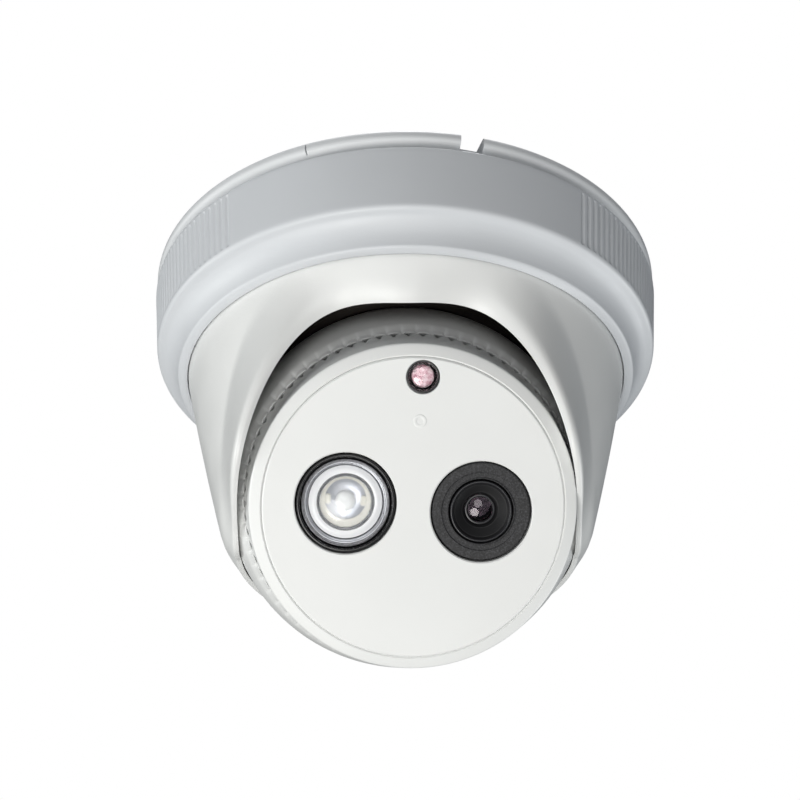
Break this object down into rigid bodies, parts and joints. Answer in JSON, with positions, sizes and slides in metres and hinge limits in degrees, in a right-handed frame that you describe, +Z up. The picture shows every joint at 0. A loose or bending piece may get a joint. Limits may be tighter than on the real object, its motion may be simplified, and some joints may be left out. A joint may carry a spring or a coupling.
{
  "type": "dome cctv camera",
  "caption": "Ceiling turret camera: mount plate, bayonet locking ring, hooded dome and a swivelling ball with lens, LED lamp and light sensor in a round face.",
  "frame": {"origin": "centre of the mount plate's flat ceiling face", "axes": "+Z up out of the ceiling face, -Y the way the camera faces at rest, +X to the right seen from the front"},
  "size_m": [0.12, 0.12, 0.0994],
  "materials": {
    "white_abs": "fine satin moulding",
    "natural_nylon": "smooth",
    "black_plastic": "fine grain",
    "black_rubber": "matte",
    "plated_steel": "bright zinc plate",
    "cast_aluminium": "machined",
    "reflector_metal": "bright vapour-coated",
    "circuit_board": "solder mask",
    "chip_package": "moulded epoxy",
    "optical_glass": "polished"
  },
  "bodies": {
    "base": {"mount_plate": "white_abs"},
    "lock_ring": {"trim_ring": "white_abs"},
    "turret": {"dome_shell": "white_abs", "pan_washer": "natural_nylon", "ball_retainer": "white_abs", "ball_seat": "natural_nylon", "retainer_screw_1": "plated_steel", "retainer_screw_2": "plated_steel", "retainer_screw_3": "plated_steel", "retainer_screw_4": "plated_steel"},
    "ball": {"rear_shell": "white_abs", "cable_gland": "black_rubber", "gland_nut": "natural_nylon"},
    "lens": {"lens_barrel": "black_plastic", "lens_front_element": "optical_glass", "lens_retaining_ring": "black_plastic", "lens_rear_element": "optical_glass"},
    "filter": {"ir_filter_slide": "optical_glass"},
    "head": {"board_connector": "natural_nylon", "board_screw_1": "plated_steel", "board_screw_2": "plated_steel", "board_screw_3": "plated_steel", "board_screw_4": "plated_steel", "chassis": "black_plastic", "chassis_screw_1": "plated_steel", "chassis_screw_2": "plated_steel", "chassis_screw_3": "plated_steel", "face_plate": "white_abs", "face_seal": "black_rubber", "front_ring": "white_abs", "heat_sink": "cast_aluminium", "image_sensor": "chip_package", "led_board": "cast_aluminium", "led_emitter": "natural_nylon", "led_housing": "black_plastic", "led_lens": "optical_glass", "led_reflector": "reflector_metal", "lens_holder": "black_plastic", "lens_lock_screw": "plated_steel", "lens_shield": "black_plastic", "main_board": "circuit_board", "photo_sensor": "chip_package", "processor": "chip_package", "sensor_board": "circuit_board", "sensor_sleeve": "black_plastic", "sensor_window": "optical_glass"}
  },
  "joints": [
    {"name": "ring_twist", "type": "hinge", "parent": "base", "child": "lock_ring", "pos_m": [0, 0, -0.0125], "axis": [0, 0, -1], "range_deg": [0, 26]},
    {"name": "pan", "type": "hinge", "parent": "base", "child": "turret", "pos_m": [0, 0, -0.022], "axis": [0, 0, 1], "range_deg": [-180, 180]},
    {"name": "tilt", "type": "hinge", "parent": "turret", "child": "ball", "pos_m": [0, 0, -0.055], "axis": [0.9981, 0.061, 0], "range_deg": [-20, 50]},
    {"name": "roll", "type": "hinge", "parent": "ball", "child": "head", "pos_m": [0, 0, -0.055], "axis": [0.047, -0.768, -0.6388], "range_deg": [-170, 170]},
    {"name": "focus", "type": "hinge", "parent": "head", "child": "lens", "pos_m": [0.01529, -0.01265, -0.06685], "axis": [0.047, -0.768, -0.6388], "range_deg": [-180, 180]},
    {"name": "ir_switch", "type": "slide", "parent": "head", "child": "filter", "axis": [0.0773, -0.6348, 0.7688], "range_m": [-0.0064, 0]}
  ]
}
